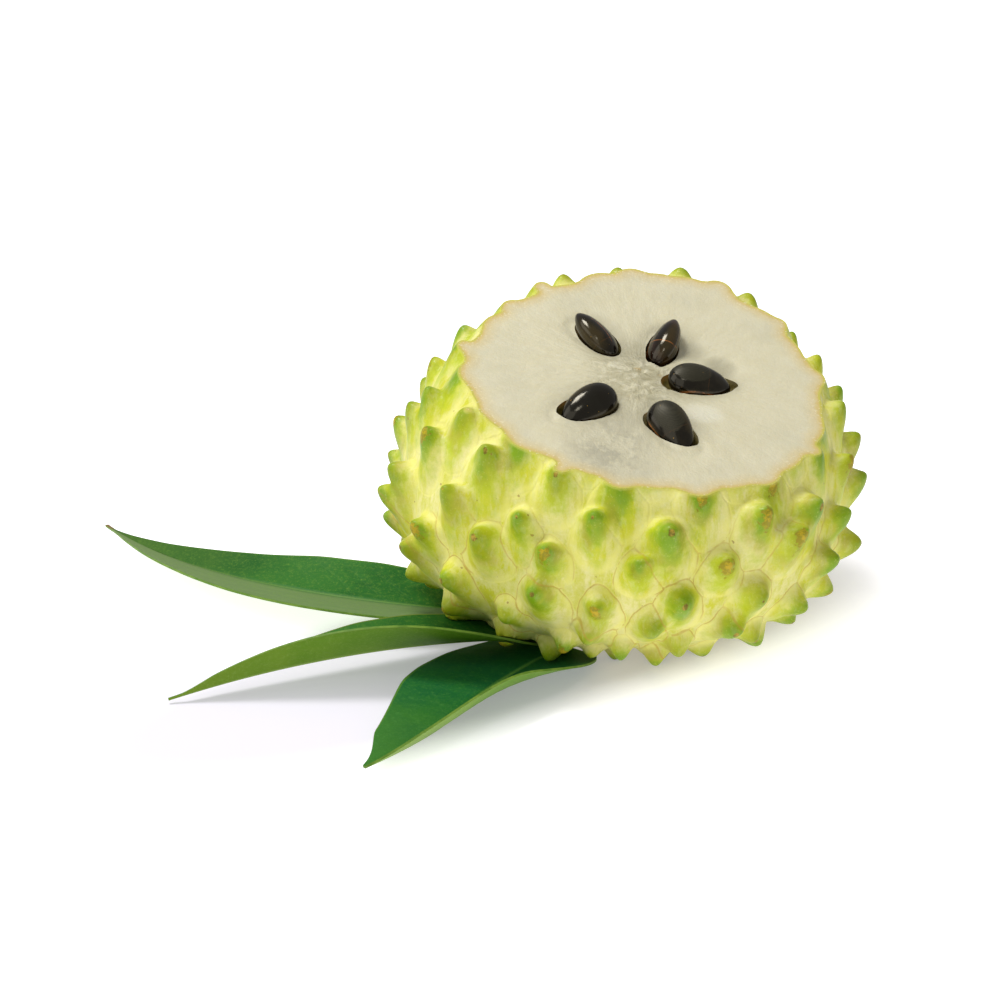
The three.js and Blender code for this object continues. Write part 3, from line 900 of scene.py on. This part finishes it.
def fleshMaterial(look):
    material, place, shader = newMaterial(
        "soursop_flesh", Subsurface_Weight=0.12, Subsurface_Scale=0.003,
        Subsurface_Radius=(1, 0.8, 0.5), Coat_Weight=0.12, Coat_Roughness=0.3,
        Specular_IOR_Level=0.3)
    rim = attribute(place, "rim")
    pocket = attribute(place, "mouth")
    x, y = parted(place.vector("SUBTRACT", (cut["x"] * mm, cut["y"] * mm, cut["z"] * mm)))
    spoke = x.math("ARCTAN2", y, x)
    away = (x * x + y * y) ** 0.5
    polar = place.node("ShaderNodeCombineXYZ", {}, {0: spoke, 1: away * 14, 2: 0})
    fibres = grain(polar, 9, 5, 0.62)
    cloudy = grain(place, 48, 4, 0.6)
    middling = grain(place, 190, 4, 0.62)
    fine = grain(place, 620, 4, 0.7)
    shreds = grain(stretched(place, (1, 1.7, 1), 0.5), 170, 4, 0.65, distortion=1.2)
    coats = Coats(look, "pale")
    coats.lay(fibres.step(0.35, 0.7) * 0.4, "plain")
    coats.lay(cloudy.step(0.45, 0.72) * 0.4, "cloud")
    # pale torn threads and tan flecks round the middle, with painted shade in the gaps between them
    core = (away + (middling - 0.5) * 0.014).step(0.019, 0.004)
    coats.lay(core * 0.6, "core")
    coats.lay(core * shreds.step(0.48, 0.62) * 0.8, "thread")
    coats.lay(core * shreds.step(0.46, 0.34) * 0.5, "gap")
    flecks = away.step(0.012, 0.004) * middling.step(0.58, 0.66)
    coats.lay(flecks * 0.5, "fleck")
    # painted shade round the seeds and in the soft hollows, and greyer flesh in the torn patch before them
    # painted shade near the pockets, in soft grey patches
    shadeRoundSeeds = pocket.step(0.0060, 0.0004) * (0.3 + cloudy.step(0.35, 0.65) * 0.7)
    coats.lay(shadeRoundSeeds * 0.35, "wet")
    # painted shade in each soft hollow
    for atX, atY, wide, deep in hollows:
        sideX, sideY = (x - atX * mm) / (wide * mm), (y - atY * mm) / (wide * mm)
        shade = (sideX * sideX + sideY * sideY + (middling - 0.5) * 0.8).step(1.3, 0)
        coats.lay(shade * (0.45 * deep), "hollow")
    tornX, tornY = (axis - at * mm for axis, at in zip((x, y), relief["tornAt"]))
    torn = (tornX * tornX * 1.4 + tornY * tornY + (middling - 0.5) * 0.0005).step(0.0004, 0)
    coats.lay(torn * (0.3 + middling.step(0.45, 0.62) * 0.5), "torn")
    # painted highlight: a bright glint on the flesh between the third and fourth seeds
    smearX, smearY = x - 0.017, y + 0.013
    smear = (smearX * smearX + smearY * smearY * 2).step(0.00005, 0)
    coats.lay(smear * 0.6, "smear")
    # tan under the rind, with the rind's own bright line outermost
    ragged = rim + (fine - 0.5) * 0.0016 + (middling - 0.5) * 0.0016
    coats.lay(ragged.step(0.0058, 0.0012) * 0.6, "tan")
    coats.lay(ragged.step(0.0022, 0.0006) * 0.7, "rindTan")
    coats.lay(rim.step(0.0009, 0.0003), "rindLine")
    speck = grain(place, 1500, 1).step(0.62, 0.70) * rim.step(0.008, 0.001)
    coats.lay(speck * 0.5, "speck")
    bumps = fibres * 0.6 + fine * 0.2 + middling * (0.35 + torn) + shreds * core * 2
    normal = bump(bumps, 0.5, 0.0014)
    roughness = 0.36 + fine * 0.2
    connect(shader, Base_Color=coats.colour, Roughness=roughness, Normal=normal)
    return material


pocketLook = palette(
    dark=(106, 92, 34), pale=(150, 134, 74),
    fringe=(186, 172, 124), tanFringe=(196, 142, 62),
)


def pocketMaterial(look):
    material, place, shader = newMaterial("soursop_pocket", Coat_Weight=0.3, Coat_Roughness=0.2)
    mottled = grain(place, 300, 4, 0.6)
    coats = Coats(look, "dark")
    coats.lay(mottled.step(0.35, 0.65), "pale")
    edge = attribute(place, "mouth")
    fringe = grain(place, 140, 3, 0.7).step(0.45, 0.55).blend(look["fringe"], look["tanFringe"])
    coats.lay(edge.step(0.0018, 0.0003) * 0.7, fringe)
    normal = bump(mottled, 0.4, 0.001)
    connect(shader, Base_Color=coats.colour, Roughness=0.35 + mottled * 0.2, Normal=normal)
    return material


seedCoat = palette(
    black=(10, 7, 4), olive=(62, 52, 26), line=(150, 92, 44),
    speck=(170, 130, 50), matte=(50, 49, 34),
)


def seedMaterial(name, look):
    material, place, shader = newMaterial(
        name, Specular_IOR_Level=0.42, Specular_Tint=(1, 0.92, 0.72, 1))
    u, v = parted(uvMap(place, "UVMap"))
    cloudy = grain(place, 240, 3, 0.6)
    fine = grain(place, 900, 3, 0.65)
    coats = Coats(seedCoat, "black")
    coats.lay(cloudy.step(0.4, 0.7), look["warm"])
    # olive towards the keel at its sides
    edge = size(v - 0.5) * 2
    side = (edge + (cloudy - 0.5) * 0.4).step(0.55, 0.95)
    coats.lay(side * 0.6, "olive")
    # one thin line along the seed and one across it
    along = size(v - look["alongAt"] + (cloudy - 0.5) * 0.05).step(0.022, 0.006)
    along = along * u.step(look["alongFrom"], look["alongFrom"] + 0.1)
    along = along * u.step(look["alongTo"], look["alongTo"] - 0.1)
    across = size(u - look["acrossAt"] + (cloudy - 0.5) * 0.04).step(0.013, 0.003)
    lines = ((along + across * look["across"]) * fine.step(0.35, 0.5)).least(1)
    coats.lay(lines * 0.75, "line")
    specks = grain(place, 900, 1).step(0.74, 0.79)
    coats.lay(specks * 0.6, "speck")
    # the matte patch with its fine ridges, on the inner half
    prints = place.node("ShaderNodeTexWave", {"wave_type": "RINGS"},
                        {"Vector": place, "Scale": 1100, "Distortion": 4, "Detail": 2,
                         "Detail Scale": 0.6}, 1)
    patchX, patchY = (u - 0.34) / 0.30, (v - look["patchAt"]) / 0.34
    patch = (patchX * patchX + patchY * patchY + (cloudy - 0.5) * 0.5).step(1.1, 0.8) * look["matte"]
    coats.lay(patch * (0.30 + prints * fine * 0.5), "matte")
    roughness = 0.10 + cloudy * 0.08 + patch * 0.34
    normal = bump(prints * patch * 0.25 + cloudy + fine * 0.2, 0.10, 0.0006)
    connect(shader, Base_Color=coats.colour, Roughness=roughness, Normal=normal)
    return material


def leafMaterial(name, look):
    material, place, shader = newMaterial(
        name, Coat_Weight=0.05, Coat_Roughness=0.35, Specular_IOR_Level=0.12)
    uv = uvMap(place, "UVMap")
    u, v = parted(uv)
    side = size(u - 0.5) * 2
    broad = grain(place, 26, 3)
    cloudy = grain(place, 90, 4, 0.6)
    fine = grain(place, 900, 3, 0.7)
    lengths = grain(stretched(uv, (26, 2.2, 1)), 3, 3, 0.6)
    shade = (broad * 0.5 + cloudy * 0.3 + lengths * 0.2).step(0.40, 0.60)
    coats = Coats(look, "main")
    coats.lay(shade, "second")
    coats.lay((v + (cloudy - 0.5) * 0.3).step(0.45, 1, 0, 0.8), "tip")
    # painted sheen: on the long leaf the near half is lighter and greyer, as from light glancing off it
    if "near" in look:
        half = (u - 0.5 + (lengths - 0.5) * 0.10).step(0.03, -0.10)
        coats.lay(half * (0.5 + lengths * 0.6), "near")
    coats.lay((fine - 0.5) * 1.3, "speck")
    coats.lay(fine.step(0.66, 0.74) * 0.35, "speck")
    stipple = grain(place, 2400, 1).step(0.60, 0.72)
    coats.lay(stipple * 0.30, "speck")
    # side veins leave the midrib in turn and curve towards the tip
    bend = v * leafMesh["veins"] - side * leafMesh["veinBend"] - side * side * 0.8 + (cloudy - 0.5) * 0.5
    near = size(bend.math("FRACT", bend) - 0.5)
    veins = near.step(0.07, 0.01) * side.step(1, 0.6) * side.step(0, 0.05)
    coats.lay(veins * 0.04, "vein")
    rib = side.step(0.055, 0.015)
    coats.lay(rib * v.step(look["ribTo"], look["ribTo"] - 0.35, 0.25, 0.85), "vein")
    margin = (side + (cloudy - 0.5) * 0.03).step(0.955, 0.985)
    coats.lay(margin * 0.7, "margin")
    coats.lay(v.step(0.965, 0.99) * look["dryTip"], paint(132, 98, 58))
    height = fine * 0.2 + cloudy * 0.6 - veins * 0.2 - rib * 0.8
    normal = bump(height, 0.22, 0.0006)
    connect(shader, Base_Color=coats.colour, Roughness=0.42 + fine * 0.14, Normal=normal)
    return material


skin = skinMaterial(skinLook)
flesh = fleshMaterial(fleshLook)
pocketWall = pocketMaterial(pocketLook)
print("materials made")

fruit, skinPoints, skinFacts = makeSkin()
fruit.data.materials.append(skin)
print("skin raised:", len(skinPoints), "points")

takeAway(fruit, [makeKnife(flesh), makeTable(skin)])
takeAway(fruit, [makePocket(name, pocketWall) for name in seeds])
for name in leaves:
    takeAway(fruit, [makeLeafRoom(name, skin)])
print("fruit cut:", len(fruit.data.polygons), "faces", [m.name for m in fruit.data.materials])


def nearestSpines(level, around):
    # the numbers of the nearest spine and the next for each face
    best = np.full((2, len(level)), 1e9)
    chosen = np.zeros((2, len(level)), dtype=int)
    for i, spine in enumerate(spineList):
        share = scaleShare(*besideSpine(spine, level, around))
        closer = share < best[0]
        after = ~closer & (share < best[1])
        best[1, closer], chosen[1, closer] = best[0, closer], chosen[0, closer]
        best[0, closer], chosen[0, closer] = share[closer], i
        best[1, after], chosen[1, after] = share[after], i
    return chosen


def storeSpineMaps(mesh, level, around, corner, faceOf, sizes):
    # two UV maps, of where each corner lies beside its face's nearest spine and the next
    first = corner[np.concatenate([[0], np.cumsum(sizes)[:-1]])]
    turn = around[corner] - around[first][faceOf]
    turn = np.arctan2(np.sin(turn), np.cos(turn))
    middleAround = around[first] + np.bincount(faceOf, turn) / sizes
    middleLevel = np.bincount(faceOf, level[corner]) / sizes
    facts = {name: np.array([spine[name] for spine in spineList])
             for name in ("level", "around", "perLevel", "perAround")}
    for name, chosen in zip(("nearest", "next"), nearestSpines(middleLevel, middleAround)):
        mine = {fact: values[chosen[faceOf]] for fact, values in facts.items()}
        beside = np.stack(besideSpine(mine, level[corner], around[corner]), axis=1)
        mesh.uv_layers.new(name=name).data.foreach_set("uv", beside.ravel())


def keepCrisp(mesh, edge, kindOf):
    # the edges between two finishes
    lowest, highest = np.full(len(mesh.edges), len(mesh.materials)), np.full(len(mesh.edges), -1)
    np.minimum.at(lowest, edge, kindOf)
    np.maximum.at(highest, edge, kindOf)
    alone(fruit)
    bpy.ops.object.shade_smooth()
    mesh.edges.foreach_set("use_edge_sharp", lowest != highest)


def dressFruit():
    mesh = fruit.data
    points = places(fruit)
    kinds, sizes = readNumbers(mesh.polygons, "material_index"), readNumbers(mesh.polygons, "loop_total")
    corner, edge = readNumbers(mesh.loops, "vertex_index"), readNumbers(mesh.loops, "edge_index")
    faceOf = np.repeat(np.arange(len(kinds)), sizes)
    slots = {material.name: i for i, material in enumerate(mesh.materials)}
    skinSlot, fleshSlot, pocketSlot = (slots[m.name] for m in (skin, flesh, pocketWall))
    touches = np.zeros((len(points), len(slots)), dtype=bool)
    touches[corner, kinds[faceOf]] = True
    for name, other in (("rim", skinSlot), ("mouth", pocketSlot)):  # metres from where they meet
        tree = treeOf(points[touches[:, fleshSlot] & touches[:, other]])
        storeValues(fruit, name, [min(tree.find(p)[2], 0.02) for p in points])
    skinTree = treeOf(skinPoints)
    source = np.array([skinTree.find(p)[1] for p in points])
    for name in ("scar", "tone", "height"):
        storeValues(fruit, name, skinFacts[name][source])
    storeSpineMaps(mesh, skinFacts["level"][source], skinFacts["around"][source], corner, faceOf, sizes)
    keepCrisp(mesh, edge, kinds[faceOf])


dressFruit()
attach(fruit, "root")
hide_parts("fruit")
print("fruit dressed")

seedLooks = {
    "seed_1": palette(
        warm=(34, 23, 15), alongAt=0.72, alongFrom=0.2, alongTo=0.8,
        acrossAt=0.3, across=0.1, matte=0.0, patchAt=0.5),
    "seed_2": palette(
        warm=(44, 20, 10), alongAt=0.55, alongFrom=0.0, alongTo=0.5,
        acrossAt=0.44, across=1.0, matte=0.0, patchAt=0.5),
    "seed_3": palette(
        warm=(26, 22, 14), alongAt=0.12, alongFrom=0.1, alongTo=0.95,
        acrossAt=0.6, across=0.1, matte=1.0, patchAt=0.68),
    "seed_4": palette(
        warm=(28, 22, 12), alongAt=0.14, alongFrom=0.2, alongTo=0.95,
        acrossAt=0.6, across=0.1, matte=1.0, patchAt=0.64),
    "seed_5": palette(
        warm=(16, 15, 11), alongAt=0.5, alongFrom=0.0, alongTo=0.0,
        acrossAt=0.3, across=0.0, matte=0.0, patchAt=0.5),
}


def laySeeds():
    master = makeSeed()
    for name, seed in seeds.items():
        piece = copySeed(master, name, seed)
        piece.data.materials.append(seedMaterial(name + "_coat", seedLooks[name]))
        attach(piece, "root")
        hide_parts(name)
    bpy.data.objects.remove(master)
    print("seeds laid in")


laySeeds()

leafLooks = {
    "leaf_long": palette(
        # near is a painted sheen on the blade's near half
        main=(24, 90, 24), second=(46, 110, 32), tip=(72, 104, 34), near=(120, 142, 90),
        vein=(104, 144, 66), speck=(120, 156, 58), margin=(96, 138, 48), ribTo=1.4, dryTip=0.8),
    "leaf_folded": palette(
        main=(30, 92, 30), second=(54, 112, 34), tip=(80, 128, 38),
        vein=(110, 150, 60), speck=(110, 150, 50), margin=(120, 132, 50), ribTo=1.4, dryTip=0),
    "leaf_broad": palette(
        main=(22, 94, 52), second=(38, 108, 44), tip=(66, 126, 40),
        vein=(104, 158, 70), speck=(84, 146, 70), margin=(96, 140, 44), ribTo=0.55, dryTip=0),
}
underLook = palette(
    main=(94, 138, 24), second=(110, 150, 34), tip=(120, 150, 40),
    vein=(140, 172, 76), speck=(140, 172, 80), margin=(110, 140, 50), ribTo=1.4, dryTip=0)
marginLook = palette(dark=(92, 128, 44), pale=(116, 148, 56))


def marginMaterial(look):
    material, place, shader = newMaterial("leaf_margin", Roughness=0.5, Specular_IOR_Level=0.15)
    mottled = grain(place, 300.0, 3.0, 0.6).step(0.35, 0.65)
    connect(shader, Base_Color=mottled.blend(look["dark"], look["pale"]))
    return material


def layLeaves():
    margin = marginMaterial(marginLook)
    for name, look in leafLooks.items():
        upper = leafMaterial(name + "_upper", look)
        under = leafMaterial(name + "_under", underLook)
        piece = makeLeaf(name, upper, under, margin)
        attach(piece, "root")
        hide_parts(name)
    print("leaves laid down")


layLeaves()

floorLook = {
    "size": 40, "colour": (0.68, 0.65, 0.72, 1),
    # painted light: the floor glows, dimly inside an oval round the fruit and leaves and brightly outside
    # it, so it is paler outside the oval and their shadows fade there
    "middle": (-0.042, -0.034, 0), "turn": 0.547, "narrow": 0.286, "from": 0.095, "to": 0.165,
    "inside": (0.26, 0.255, 0.28, 1), "outside": (0.82, 0.82, 0.82, 1),
}


def layFloor(look):
    bpy.ops.mesh.primitive_plane_add(size=look["size"])
    floor = added("floor")
    material, place, shader = newMaterial(
        "floor_white", Base_Color=look["colour"], Roughness=0.7, Specular_IOR_Level=0.1,
        Emission_Strength=1.0)
    # painted light: the floor's glow, weaker inside the oval than outside it
    oval = stretched(place, (1, look["narrow"], 1), look["turn"], look["middle"], "TEXTURE")
    x, y = parted(oval)
    glow = ((x * x + y * y) ** 0.5).step(look["from"], look["to"])
    connect(shader, Emission_Color=glow.blend(look["inside"], look["outside"]))
    floor.data.materials.append(material)


layFloor(floorLook)

# soft lights' places and widths in metres and their power, all turned to the fruit
studio = {
    "sky": 0.39,
    "target": (0, 0, 0.04),
    "key": ((-0.40, 0.20, 1.10), 0.36, 7.4),
    "side": ((-1.0, -0.15, 0.75), 0.8, 3.0),
    "front": ((-0.65, -1.0, 0.75), 0.9, 2.2),
    "spark": ((-0.12, -0.62, 0.95), 0.16, 0.7),
}


def addSky(strength):
    world = bpy.data.worlds.new("studio")
    bpy.context.scene.world = world
    world.use_nodes = True
    sky = world.node_tree.nodes["Background"]
    sky.inputs["Color"].default_value = (1, 1, 1, 1)
    sky.inputs["Strength"].default_value = strength


def addLight(name):
    light = bpy.data.lights.new(name, "AREA")
    place, light.size, light.energy = studio[name]
    lamp = bpy.data.objects.new(name, light)
    bpy.context.collection.objects.link(lamp)
    lamp.location = place
    towards = Vector(studio["target"]) - lamp.location
    lamp.rotation_euler = towards.to_track_quat("-Z", "Y").to_euler()


addSky(studio["sky"])
for name in ("key", "side", "front", "spark"):
    addLight(name)

# the camera: metres, degrees below level, and millimetres
view = {"place": (-0.0342, -0.7196, 0.3248), "down": 22, "lens": 100, "sensor": 36}

camera = bpy.data.objects.new("camera", bpy.data.cameras.new("camera"))
bpy.context.collection.objects.link(camera)
camera.data.lens = view["lens"]
camera.data.sensor_width = view["sensor"]
camera.location = view["place"]
camera.rotation_euler = (math.radians(90 - view["down"]), 0, 0)
bpy.context.scene.camera = camera
bpy.context.scene.view_settings.view_transform = "Standard"
